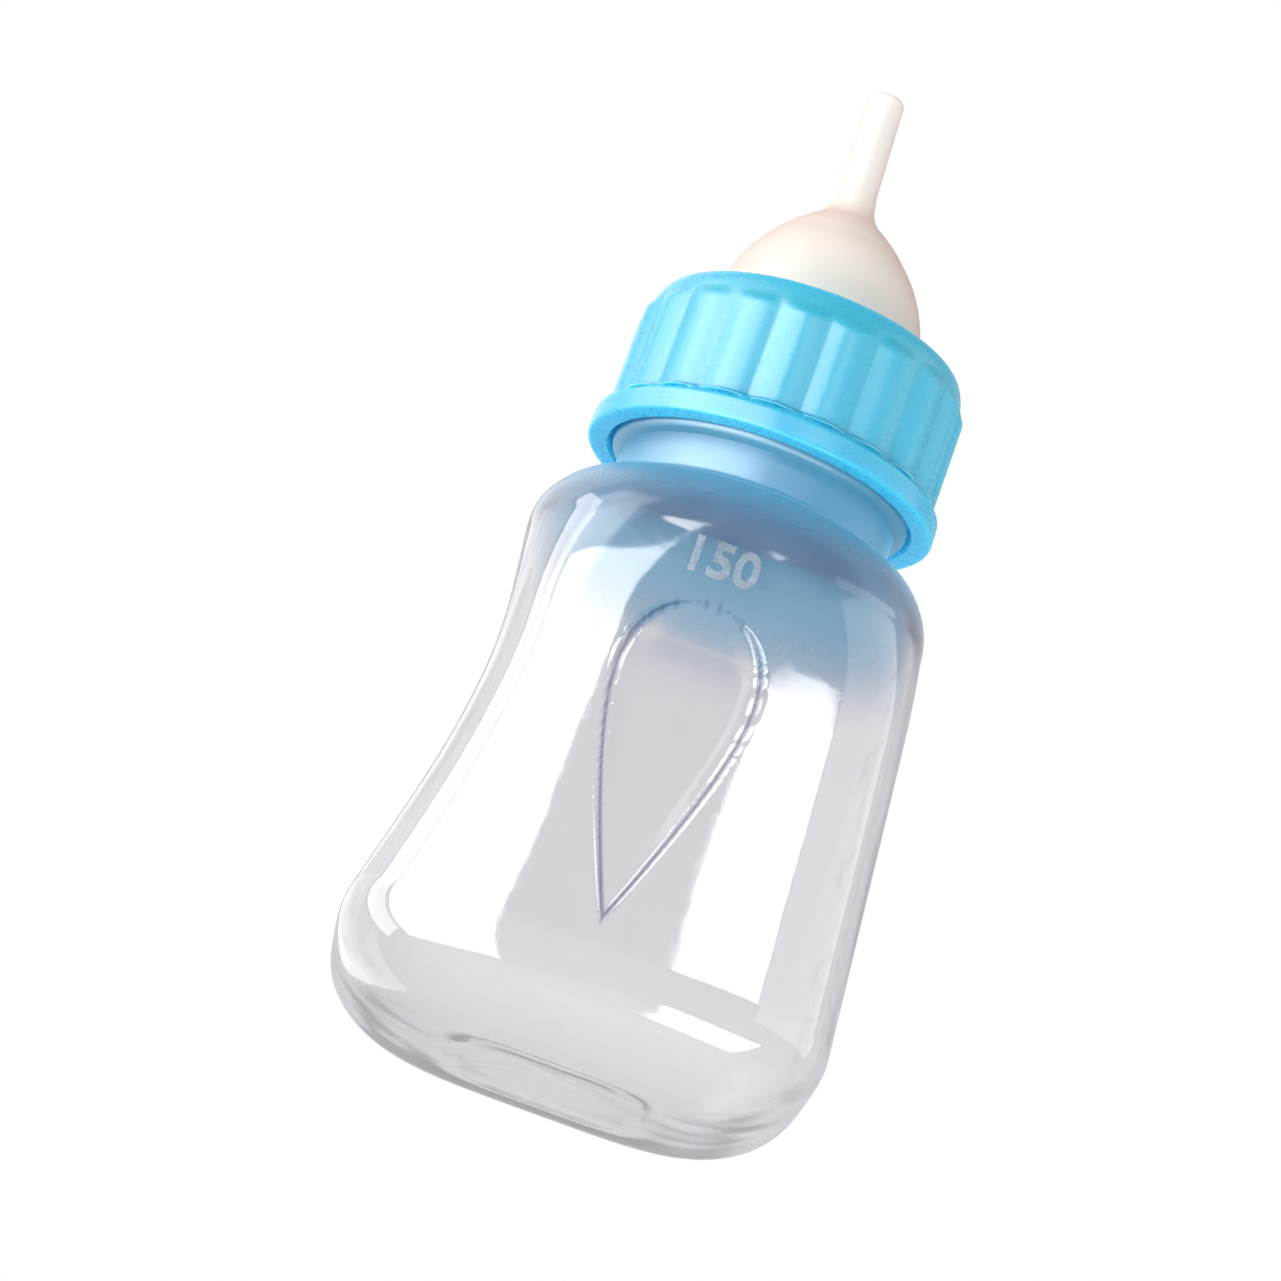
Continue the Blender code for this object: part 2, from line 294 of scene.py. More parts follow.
def bottle_outline():
    """The outside from the middle of the base up to the neck's rim, as (radius, height), before squaring.
    """
    share = np.linspace(0, 1, 14, endpoint=False)[:, None]
    base = np.concatenate([FOOT_INNER * share, BASE_PUSH_UP * (1 - share**2)], axis=1)
    foot = line((FOOT_INNER, 0.0), (FOOT_OUTER, 0.0), 4)
    heel = arc((FOOT_OUTER, HEEL_TOP), (HEEL_HALF - FOOT_OUTER, HEEL_TOP), -90, 0, 24)
    side = line((HEEL_HALF, HEEL_TOP), (SHOULDER_HALF, SHOULDER_START), 180)
    rise_size = (SHOULDER_HALF - SHOULDER_ROOT, SHOULDER_TOP - SHOULDER_START)
    shoulder = arc((SHOULDER_ROOT, SHOULDER_START), rise_size, 0, 86, 26)
    neck_start = SHOULDER_TOP + NECK_FILLET
    fillet = arc((NECK_RADIUS + NECK_FILLET, neck_start), (NECK_FILLET, NECK_FILLET), 240, 180, 6)
    neck = line((NECK_RADIUS, neck_start), (NECK_RADIUS, NECK_RIM - RIM_ROUND), 66)
    return np.concatenate([base, foot, heel, side, shoulder, fillet, neck])


def squareness(height):
    """The exponent of the superellipse section: 2, round, at the neck, growing below it."""
    return 2 + (BODY_SQUARENESS - 2) * smooth_step((SHOULDER_TOP - height) / ROUND_TO_SQUARE)


def squared(points):
    """Each round row made a superellipse: the radius is divided by (|cos|^p + |sin|^p)^(1/p)."""
    angle = np.arctan2(points[..., 1], points[..., 0])
    power = squareness(points[..., 2])
    across = np.abs(np.cos(angle)) ** power + np.abs(np.sin(angle)) ** power
    radius = np.hypot(points[..., 0], points[..., 1]) * across ** (-1 / power)
    return angle, radius


def waist_depth(angle, height):
    """How far the left side is pressed in: a sine to the power 1.3 in height, at full depth across the
    side, fading round both of its corners."""
    above = (WAIST_TOP - height) / (WAIST_TOP - WAIST_MIDDLE)
    below = (height - WAIST_BOTTOM) / (WAIST_MIDDLE - WAIST_BOTTOM)
    share = np.clip(np.minimum(above, below), 0, 1)
    off = np.abs((angle - np.pi + np.pi) % TURN - np.pi)
    across = smooth_step((WAIST_END_ANGLE - off) / (WAIST_END_ANGLE - WAIST_FULL_ANGLE))
    return WAIST_DEPTH * across * np.sin(0.5 * np.pi * share) ** 1.3


def dish_shape(x, height, wall_width=DISH_WALL):
    """How deep the thumb dish is, and how far down its wall a point is, from 0 outside it to 1 on its
    floor. With s the share of its height, its half-width is the widest times s^0.9 (1 - s^4)^0.5 over
    0.638, the greatest value of that product: a teardrop, blunt at the top and pointed at the bottom. The
    floor is flat from side to side and ramps up to the surface at both ends."""
    share = np.clip((height - DISH_BOTTOM) / (DISH_TOP - DISH_BOTTOM), 0, 1)
    half = DISH_HALF_WIDTH * share**0.9 * np.sqrt(1 - share**4) / 0.638
    wall = smooth_step((half - np.abs(x - DISH_MIDDLE)) / wall_width)
    ramp = smooth_step((1 - share) / DISH_TOP_RAMP) * np.minimum(1, share / DISH_BOTTOM_RAMP)
    return DISH_DEPTH * wall * ramp, wall


def bottle_outside(outline, dish_wall):
    """The bottle's outside without its thread: squared, waisted on the left and dished in front."""
    points = turned_grid(outline, columns_round(BOTTLE_COLUMNS, FRONT_CROWDING))
    angle, radius = squared(points)
    radius = radius - waist_depth(angle, points[..., 2]) * (radius > FOOT_OUTER)
    x, y = radius * np.cos(angle), radius * np.sin(angle)
    y = y + np.where((y < 0) & (radius > FOOT_OUTER), dish_shape(x, points[..., 2], dish_wall)[0], 0)
    return np.stack([x, y, points[..., 2]], axis=-1)


def normals(points):
    """Unit normals of a grid whose columns go round: the cross product of its two central differences."""
    along = np.gradient(points, axis=0)
    round_z = np.roll(points, -1, axis=1) - np.roll(points, 1, axis=1)
    normal = np.cross(round_z, along)
    length = np.linalg.norm(normal, axis=-1, keepdims=True)
    straight = np.array([0.0, 0.0, -1.0])
    return np.where(length > 1e-12, normal / np.maximum(length, 1e-12), straight)


def make_bottle():
    """The bottle: the outside with bead and thread, a rounded rim, and the inside a wall's thickness
    within it. Blow moulding leaves the wall thicker round the heel, and the dish's wall softer inside
    than outside."""
    outline = bottle_outline()
    base = bottle_outside(outline, DISH_WALL)
    angles = columns_round(BOTTLE_COLUMNS, FRONT_CROWDING)
    height = base[..., 2]
    bead = NECK_BEAD * np.sqrt(np.maximum(1 - ((height - NECK_BEAD_HEIGHT) / (1.1 * MM)) ** 2, 0))
    ridge = thread_section(angles, height, NECK_THREAD_LOW, 0.0, NECK_THREAD_SECTION)
    proud = np.maximum(bead, ridge)[..., None]
    outward = base * [1, 1, 0]
    outward = outward / np.maximum(np.linalg.norm(outward, axis=-1, keepdims=True), 1e-9)
    outside = base + proud * outward
    rim_round = arc((NECK_RADIUS - RIM_ROUND, NECK_RIM - RIM_ROUND), (RIM_ROUND, RIM_ROUND), 0, 90, 5)
    bore = NECK_RADIUS - NECK_WALL
    rim_in = arc((bore + RIM_ROUND, NECK_RIM - RIM_ROUND), (RIM_ROUND, RIM_ROUND), 90, 180, 5)
    rim = turned_grid(np.concatenate([rim_round, rim_in]), angles)
    thickness = WALL + (NECK_WALL - WALL) * smooth_step((height - SHOULDER_START) / (10 * MM))
    thickness = thickness + HEEL_THICKENING * np.exp(-((height / HEEL_THICK_HEIGHT - 1) ** 2))
    soft = bottle_outside(outline, DISH_WALL_INSIDE)
    inside = (soft - normals(soft) * thickness[..., None])[::-1]
    inside[-1] = inside[-1].mean(axis=0)
    kept = np.unique(np.concatenate([np.arange(1, len(inside), 4), [len(inside) - 1]]))
    bottle = surface("bottle_shell", np.concatenate([outside, rim, inside[kept]]))
    # The dish's wall as a vertex mask, which the material frosts and paints dark as painted shade.
    paint(bottle, "dish_wall", lambda x, y, z: np.where(y < -0.5 * HEEL_HALF, near_dish_wall(x, z), 0))
    return bottle


def near_dish_wall(x, height):
    """1 in the middle of the dish's wall, falling to 0 at its foot and at its brow."""
    wall = dish_shape(x, height)[1]
    return 4 * wall * (1 - wall)


def paint(obj, name, value_at):
    """Stores a value on each vertex, for the material to read."""
    count = len(obj.data.vertices)
    points = np.zeros(count * 3)
    obj.data.vertices.foreach_get("co", points)
    values = value_at(*points.reshape(-1, 3).T)
    obj.data.attributes.new(name, "FLOAT", "POINT").data.foreach_set("value", values.astype(np.float32))


# Marks moulded on the bottle


def half_width(height):
    """Half of the bottle's width across the flats, on its side and its shoulder."""
    side = HEEL_HALF + (SHOULDER_HALF - HEEL_HALF) * (height - HEEL_TOP) / (SHOULDER_START - HEEL_TOP)
    rise = np.clip((height - SHOULDER_START) / (SHOULDER_TOP - SHOULDER_START), 0, 1)
    shoulder = SHOULDER_ROOT + (SHOULDER_HALF - SHOULDER_ROOT) * np.sqrt(1 - rise**2)
    return np.where(height > SHOULDER_START, shoulder, side)


def on_side(across, height, proud):
    """Points on a plain side, as (out, across, height), from distances across it, up it and out of it."""
    half = half_width(height)
    power = squareness(height)
    out = half * (1 - np.abs(across / half) ** power) ** (1 / power)
    return np.stack([out + proud, across, height], axis=-1)


def turn_to_front(points):
    """The same points on the front side: a quarter turn clockwise, seen from above."""
    return np.stack([points[..., 1], -points[..., 0], points[..., 2]], axis=-1)


def raised_text(name, body, size, centre_height, proud, across=0.0, front=False):
    """Numerals moulded on a side: a flat text's mesh, laid on the side's surface and raised by proud."""
    curve = bpy.data.curves.new(name, "FONT")
    curve.body = body
    curve.size = size
    curve.align_x = "CENTER"
    curve.align_y = "CENTER"
    curve.extrude = MM
    curve.offset = 0.02 * size
    curve.resolution_u = 4
    source = bpy.data.objects.new(name + "_flat", curve)
    bpy.context.scene.collection.objects.link(source)
    bpy.context.view_layer.update()
    mesh = bpy.data.meshes.new_from_object(source.evaluated_get(bpy.context.evaluated_depsgraph_get()))
    bpy.data.objects.remove(source)
    mesh.name = name
    flat = np.zeros(len(mesh.vertices) * 3)
    mesh.vertices.foreach_get("co", flat)
    flat = flat.reshape(-1, 3)
    out = np.where(flat[:, 2] > 0, proud, -0.15 * MM)
    points = on_side(flat[:, 0] + across, flat[:, 1] + centre_height, out)
    if front:
        points = turn_to_front(points)
    mesh.vertices.foreach_set("co", points.astype(np.float32).ravel())
    obj = bpy.data.objects.new(name, mesh)
    bpy.context.scene.collection.objects.link(obj)
    weld(obj)
    return obj


def weld(obj):
    """Joins vertices that lie together and turns all faces outwards."""
    bm = bmesh.new()
    bm.from_mesh(obj.data)
    bmesh.ops.remove_doubles(bm, verts=bm.verts, dist=0.001 * MM)
    bmesh.ops.recalc_face_normals(bm, faces=bm.faces)
    bm.to_mesh(obj.data)
    bm.free()


def scale_heights(volumes_ml):
    """The height at which the bottle holds each volume: the inside's area, a share of its square, summed
    upwards in thin slices."""
    height = np.linspace(WALL + BASE_PUSH_UP, SHOULDER_START, 400)
    heel = np.sqrt(np.clip(1 - ((HEEL_TOP - height) / HEEL_TOP) ** 2, 0, 1))
    low = FOOT_OUTER + (HEEL_HALF - FOOT_OUTER) * heel
    half = np.where(height < HEEL_TOP, low, half_width(height)) - WALL
    area = 4 * SECTION_FILL * half**2
    volume = np.cumsum(area) * (height[1] - height[0]) * 1e6
    return np.interp(volumes_ml, volume, height)


def make_scale_lines(name, heights, lengths, thick, proud):
    """Moulded lines across the plain right side: each is a half-round rib with rounded ends, a grid that
    goes along the line and over its section, with its section shrunk to nothing at both ends."""
    along = np.linspace(-1, 1, 25)
    over = np.linspace(-np.pi, np.pi, 16, endpoint=False)
    end = np.sqrt(np.maximum(1 - np.abs(along) ** 12, 0))
    across = lengths[:, None, None] / 2 * along[:, None] + 0 * over
    height = heights[:, None, None] + thick / 2 * end[:, None] * np.sin(over)
    out = proud * end[:, None] * np.cos(over) + 0 * across
    points = on_side(across, height, out)
    count, rows, columns = points.shape[:3]
    index = np.arange(count * rows * columns).reshape(count, rows, columns)
    beside = np.roll(index, -1, axis=2)
    quads = np.stack(
        [index[:, 1:-2], index[:, 2:-1], beside[:, 2:-1], beside[:, 1:-2]], axis=-1
    ).reshape(-1, 4)
    first, last = index[:, :1, :1] + 0 * index[:, :1], index[:, -1:, :1] + 0 * index[:, :1]
    low = np.stack([first, index[:, 1:2], beside[:, 1:2]], axis=-1).reshape(-1, 3)
    high = np.stack([last, beside[:, -2:-1], index[:, -2:-1]], axis=-1).reshape(-1, 3)
    return mesh_object(name, points.reshape(-1, 3), quads, np.concatenate([low, high]))


# Screw ring


def ring_outline():
    """The ring's section as (radius, height): out along its foot, up the flange and barrel, in over the
    top plate, down through the teat's hole, out under the plate and down the bore."""
    low, top = RING_BOTTOM, RING_TOP
    shelf = low + RING_FLANGE_HEIGHT
    under = top - RING_PLATE
    flange = RING_FLANGE_RADIUS
    foot = line((RING_MOUTH, low), (flange - 0.4 * MM, low), 5)
    foot_edge = arc((flange - 0.4 * MM, low + 0.4 * MM), (0.4 * MM, 0.4 * MM), -90, 0, 5)
    wall = line((flange, low + 0.4 * MM), (flange - 0.05 * MM, shelf - 0.45 * MM), 5)
    shelf_edge = arc((flange - 0.5 * MM, shelf - 0.45 * MM), (0.45 * MM, 0.45 * MM), 0, 80, 5)
    slope = line((flange - 0.45 * MM, shelf), (RING_CORE + 0.5 * MM, shelf + 0.7 * MM), 5)
    fillet = arc((RING_CORE + 0.5 * MM, shelf + 1.2 * MM), (0.5 * MM, 0.5 * MM), 270, 180, 5)
    barrel = line((RING_CORE, shelf + 1.2 * MM), (RING_CORE, top - RING_EDGE_DROP), 36)
    edge = arc((RING_CORE - RING_EDGE, top - RING_EDGE_DROP), (RING_EDGE, RING_EDGE_DROP), 0, 90, 18)
    plate = line((RING_CORE - RING_EDGE, top), (RING_HOLE + 0.5 * MM, top), 6)
    hole_edge = arc((RING_HOLE + 0.5 * MM, top - 0.5 * MM), (0.5 * MM, 0.5 * MM), 90, 180, 6)
    hole = line((RING_HOLE, top - 0.5 * MM), (RING_HOLE, under), 3)
    ceiling = line((RING_HOLE, under), (RING_BORE - 0.3 * MM, under), 5)
    bore = line((RING_BORE, under - 0.3 * MM), (RING_BORE, low + 0.6 * MM), 78)
    mouth = line((RING_BORE, low + 0.6 * MM), (RING_MOUTH, low), 4)
    outside = [foot, foot_edge, wall, shelf_edge, slope, fillet, barrel, edge]
    return np.concatenate(outside + [plate, hole_edge, hole, ceiling, bore, mouth])


def make_ring():
    """The screw ring: the section turned, with ribs on the barrel and the thread's ridge in the bore. A
    rib is the wave (1 + cos of twenty times the angle) / 2 to the power 0.6, which makes the lands broad
    and the grooves narrow, and it fades into the top edge."""
    angles = columns_round(RING_COLUMNS)
    outline = ring_outline()
    radius, height = outline[:, :1], outline[:, 1:]
    outer = (radius > RING_CORE - RING_EDGE) & (height > RING_BOTTOM + RING_FLANGE_HEIGHT)
    outer &= radius < RING_CORE + 0.6 * MM
    wave = (0.5 + 0.5 * np.cos(RIB_COUNT * (angles - RIB_PHASE))) ** 0.6
    fade = smooth_step((RIB_TOP - height) / (1.6 * MM))
    ribs = np.where(outer, RIB_HEIGHT * wave * fade, 0)
    ridge_low = NECK_THREAD_LOW - RING_THREAD_DROP - RING_THREAD_LEAD * THREAD_PITCH
    ridge = thread_section(angles, height, ridge_low, -RING_THREAD_LEAD, RING_THREAD_SECTION)
    in_bore = np.abs(radius - RING_BORE) < 0.01 * MM
    ridge = np.where(in_bore & (ridge > 0.3 * MM), ridge - 0.3 * MM, 0)
    grid = turned_grid(outline, angles)
    scale = ((radius + ribs - ridge) / radius)[..., None]
    grid[..., :2] *= scale
    return surface("ring_moulding", grid, closed_section=True)


# Teat


def through(points, count):
    """A smooth curve through the points, without the last: a Catmull-Rom cubic between each two of them.
    """
    points = np.array(points)
    ends = np.concatenate([[2 * points[0] - points[1]], points, [2 * points[-1] - points[-2]]])
    share = np.linspace(0, 1, count, endpoint=False)[:, None]
    before, start, end, after = (ends[i : len(ends) - 3 + i, None] for i in range(4))
    cubic = 3 * (start - end) + after - before
    square = 2 * before - 5 * start + 4 * end - after
    curve = start + 0.5 * share * (end - before + share * (square + share * cubic))
    return curve.reshape(-1, points.shape[-1])


def teat_outline():
    """The teat's section as (radius, height): under its flange, up the outside to the tip and down
    inside."""
    flange_top = TEAT_FLANGE_LOW + TEAT_FLANGE_THICKNESS
    groove_top = RING_TOP + 0.3 * MM
    inner_foot = TEAT_GROOVE - TEAT_WALL
    under = line((inner_foot, TEAT_FLANGE_LOW), (TEAT_FLANGE_RADIUS, TEAT_FLANGE_LOW), 5)
    rim = line((TEAT_FLANGE_RADIUS, TEAT_FLANGE_LOW), (TEAT_FLANGE_RADIUS, flange_top), 3)
    over = line((TEAT_FLANGE_RADIUS, flange_top), (TEAT_GROOVE, flange_top), 5)
    groove = line((TEAT_GROOVE, flange_top), (TEAT_GROOVE, groove_top), 4)
    lip = through([(TEAT_GROOVE, groove_top), (TEAT_LIP - 0.1 * MM, groove_top + 0.15 * MM)], 3)
    lip_edge = through([(TEAT_LIP - 0.1 * MM, groove_top + 0.15 * MM), (12.85 * MM, 96.6 * MM)], 4)
    dome = arc((0.0, DOME_CENTRE), (DOME_RADIUS, DOME_HEIGHT), 12, 48, 30)
    root = [(8.63 * MM, 106.24 * MM), (6.95 * MM, 108.15 * MM), (5.2 * MM, 109.75 * MM)]
    root += [(3.6 * MM, 111.1 * MM), (2.65 * MM, 112.7 * MM), (TUBE_RADIUS, 115.2 * MM)]
    flare = through(root, 8)
    tube = line((TUBE_RADIUS, 115.2 * MM), (TUBE_RADIUS, TEAT_TIP - 0.7 * MM), 24)
    tip = arc((TUBE_RADIUS - 0.7 * MM, TEAT_TIP - 0.7 * MM), (0.7 * MM, 0.7 * MM), 0, 90, 7)
    face = line((TUBE_RADIUS - 0.7 * MM, TEAT_TIP), (FEED_HOLE, TEAT_TIP), 4)
    hole = line((FEED_HOLE, TEAT_TIP), (FEED_HOLE, TEAT_TIP - 1.2 * MM), 3)
    bore = line((TUBE_BORE, TEAT_TIP - 2 * MM), (TUBE_BORE, TUBE_START), 8)
    throat = through([(TUBE_BORE, TUBE_START), (1.4 * MM, 111.6 * MM), (2.2 * MM, 109.6 * MM)], 5)
    inner_size = (DOME_RADIUS - TEAT_WALL, DOME_HEIGHT - TEAT_WALL)
    inside = arc((0.0, DOME_CENTRE), inner_size, 70, 6, 24)
    skirt = line((inner_foot, 95.0 * MM), (inner_foot, TEAT_FLANGE_LOW), 6)
    pieces = [under, rim, over, groove, lip, lip_edge, dome, flare, tube, tip, face, hole, bore, throat]
    return np.concatenate(pieces + [inside, skirt])


def make_teat():
    """The teat: the section turned, its tube leaning left by the height's share to the power 1.1."""
    grid = turned_grid(teat_outline(), columns_round(TEAT_COLUMNS))
    share = np.maximum(grid[..., 2] - LEAN_START, 0) / (TEAT_TIP - LEAN_START)
    grid[..., 0] -= TEAT_LEAN * share**1.1
    return surface("teat_moulding", grid, closed_section=True)


# Materials


WHITE = (1.0, 1.0, 1.0, 1.0)
BLACK = (0.0, 0.0, 0.0, 1.0)

# Settings that nodes share, and the middle of a cloudy pattern's range, where most of its values lie
OF_COLOURS = {"data_type": "RGBA"}
EASED = {"interpolation_type": "SMOOTHSTEP"}
PLUS = {"operation": "ADD"}
MINUS = {"operation": "SUBTRACT"}
TIMES = {"operation": "MULTIPLY"}
MIDDLE_HALF = {"From Min": 0.3, "From Max": 0.7}


def colour(code):
    """An sRGB hex colour as the linear values that shaders take."""
    values = [int(code[i : i + 2], 16) / 255 for i in (1, 3, 5)]
    return (*(v / 12.92 if v <= 0.04045 else ((v + 0.055) / 1.055) ** 2.4 for v in values), 1.0)


def add_node(tree, kind, settings=(), inputs=(), output=None):
    """Adds a node. settings are its properties; inputs are values, or output sockets to link from. Gives
    back the node, or the output named."""
    node = tree.nodes.new(kind)
    for name, value in dict(settings).items():
        setattr(node, name, value)
    for name, value in dict(inputs).items():
        socket = node.inputs[name]
        if isinstance(value, bpy.types.NodeSocket):
            tree.links.new(value, socket)
        else:
            socket.default_value = value
    return node if output is None else node.outputs[output]


def new_material(name):
    """An empty material: its node tree and its output node."""
    material = bpy.data.materials.new(name)
    material.use_nodes = True
    tree = material.node_tree
    tree.nodes.clear()
    return material, tree, add_node(tree, "ShaderNodeOutputMaterial")


def unevenness(tree, size, detail=2.0, stretch=(1.0, 1.0, 1.0)):
    """A cloudy pattern on object coordinates: blobs about size metres across, stretched along the axes."""
    place = add_node(tree, "ShaderNodeTexCoord", output="Object")
    place = add_node(tree, "ShaderNodeMapping", inputs={"Vector": place, "Scale": stretch}, output="Vector")
    inputs = {"Vector": place, "Scale": 1 / size, "Detail": detail, "Roughness": 0.5}
    return add_node(tree, "ShaderNodeTexNoise", inputs=inputs, output="Fac")


def up_the_part(tree, heights):
    """0 below the first of two heights and 1 above the second, eased between them."""
    place = add_node(tree, "ShaderNodeTexCoord", output="Object")
    height = add_node(tree, "ShaderNodeSeparateXYZ", inputs={"Vector": place}, output="Z")
    inputs = {"Value": height, "From Min": heights[0], "From Max": heights[1]}
    return add_node(tree, "ShaderNodeMapRange", EASED, inputs, "Result")


def clear_polypropylene():
    """Blow-moulded polypropylene: a glossy, nearly clear wall with a little milk in it. The parison's
    drawing leaves soft upright ripples, and the mould a faint grain, so reflections waver at their edges.
    Towards the shoulder the wall is painted a little grey, painted shade. The thick, undrawn neck stays
    hazy and is painted the blue of the ring round it, a painted reflection. The steep wall round the dish
    is frosted and painted dark, painted shade that draws its outline, and its gloss is tinted to black.
    """
    material, tree, output = new_material("blow_moulded_clear_polypropylene")
    ripples = unevenness(tree, 9 * MM, detail=1.0, stretch=(1.0, 1.0, 0.35))
    grain = unevenness(tree, 0.9 * MM)
    wavy = {"Height": ripples, "Distance": 0.10 * MM}
    wavy = add_node(tree, "ShaderNodeBump", inputs=wavy, output="Normal")
    fine = {"Height": grain, "Distance": 0.004 * MM, "Normal": wavy}

    haze = unevenness(tree, 16 * MM, detail=3.0, stretch=(1.0, 1.0, 0.5))
    dish_wall = add_node(tree, "ShaderNodeAttribute", {"attribute_name": "dish_wall"}, output="Fac")
    # The neck's mask: it clouds the neck and paints the ring's blue on it, a painted reflection.
    neck = up_the_part(tree, NECK_CLOUD_AND_PAINTED_BLUE_HEIGHTS)
    tints = {"Factor": haze, "A": colour("#F8F8F9"), "B": colour("#FFFEFC")}
    tint = add_node(tree, "ShaderNodeMix", OF_COLOURS, tints, "Result")
    # Painted shade greys the shoulder and darkens the dish's wall, and the ring's blue is painted on the
    # neck as its reflection.
    over = ((up_the_part(tree, PAINTED_SHADE_HEIGHTS), "#A6B1CA"), (dish_wall, "#8E8BA6"), (neck, "#6CC6E6"))
    for share, code in over:
        tints = {"Factor": share, "A": tint, "B": colour(code)}
        tint = add_node(tree, "ShaderNodeMix", OF_COLOURS, tints, "Result")
    # On the dish's wall the gloss is tinted to black, so the painted dark outline mirrors nothing.
    shine = {"Factor": dish_wall, "A": WHITE, "B": BLACK}

    milk = add_node(tree, "ShaderNodeMath", TIMES, {0: neck, 1: NECK_MILK}, "Value")
    neck_frost = add_node(tree, "ShaderNodeMath", TIMES, {0: neck, 1: NECK_FROST}, "Value")
    wall_frost = add_node(tree, "ShaderNodeMath", TIMES, {0: dish_wall, 1: DISH_WALL_FROST}, "Value")
    frost = add_node(tree, "ShaderNodeMath", PLUS, {0: neck_frost, 1: wall_frost}, "Value")
    gloss = MIDDLE_HALF | {"Value": grain, "To Min": 0.03, "To Max": 0.08}
    gloss = add_node(tree, "ShaderNodeMapRange", inputs=gloss, output="Result")
    shader = add_node(
        tree,
        "ShaderNodeBsdfPrincipled",
        inputs={
            "Base Color": tint,
            "Roughness": add_node(tree, "ShaderNodeMath", PLUS, {0: gloss, 1: frost}, "Value"),
            "IOR": 1.49,
            "Specular Tint": add_node(tree, "ShaderNodeMix", OF_COLOURS, shine, "Result"),
            "Transmission Weight": add_node(tree, "ShaderNodeMath", MINUS, {0: CLEARNESS, 1: milk}, "Value"),
            "Normal": add_node(tree, "ShaderNodeBump", inputs=fine, output="Normal"),
        },
        output="BSDF",
    )
    see_through = {"Color": colour("#F4F6FA")}
    see_through = add_node(tree, "ShaderNodeBsdfTransparent", inputs=see_through, output="BSDF")
    lamp_ray = add_node(tree, "ShaderNodeLightPath", output="Is Shadow Ray")
    mixed = {0: lamp_ray, 1: shader, 2: see_through}
    mixed = add_node(tree, "ShaderNodeMixShader", inputs=mixed, output="Shader")
    tree.links.new(mixed, output.inputs["Surface"])
    return material


def moulded_marks():
    """The same polypropylene where it stands proud: the small uneven faces of raised numerals catch the
    lamps one by one, so they glint against the wall."""
    material, tree, output = new_material("raised_clear_polypropylene")
    grain = unevenness(tree, 0.35 * MM, detail=3.0)
    tints = {"Factor": grain, "A": colour("#F0F2F6"), "B": colour("#FCFCFD")}
    gloss = MIDDLE_HALF | {"Value": grain, "To Min": 0.04, "To Max": 0.14}
    relief = {"Height": grain, "Distance": 0.06 * MM}
    shader = add_node(
        tree,
        "ShaderNodeBsdfPrincipled",
        inputs={
            "Base Color": add_node(tree, "ShaderNodeMix", OF_COLOURS, tints, "Result"),
            "Roughness": add_node(tree, "ShaderNodeMapRange", inputs=gloss, output="Result"),
            "IOR": 1.49,
            "Transmission Weight": 0.88,
            "Normal": add_node(tree, "ShaderNodeBump", inputs=relief, output="Normal"),
        },
        output="BSDF",
    )
    tree.links.new(shader, output.inputs["Surface"])
    return material


def blue_polypropylene():
    """Injection-moulded polypropylene with a light blue masterbatch: glossy, slightly waxy, with faint
    flow marks running up from the gates and a fine grain from the mould."""
    material, tree, output = new_material("injection_moulded_blue_polypropylene")
    flow = unevenness(tree, 7 * MM, stretch=(1.0, 1.0, 0.3))
    grain = unevenness(tree, 0.5 * MM)
    wavy = {"Height": flow, "Distance": 0.05 * MM}
    wavy = add_node(tree, "ShaderNodeBump", inputs=wavy, output="Normal")
    fine = {"Height": grain, "Distance": 0.006 * MM, "Normal": wavy}
    tints = {"Factor": flow, "A": colour("#38B6D8"), "B": colour("#48C2E0")}
    gloss = MIDDLE_HALF | {"Value": grain, "To Min": 0.24, "To Max": 0.34}
    shader = add_node(
        tree,
        "ShaderNodeBsdfPrincipled",
        inputs={
            "Base Color": add_node(tree, "ShaderNodeMix", OF_COLOURS, tints, "Result"),
            "Roughness": add_node(tree, "ShaderNodeMapRange", inputs=gloss, output="Result"),
            "Specular IOR Level": 0.3,
            "Subsurface Weight": 0.85,
            "Subsurface Radius": (0.3, 0.85, 1.0),
            "Subsurface Scale": 3.0 * MM,
            "Normal": add_node(tree, "ShaderNodeBump", inputs=fine, output="Normal"),
        },
        output="BSDF",
    )
    tree.links.new(shader, output.inputs["Surface"])
    return material


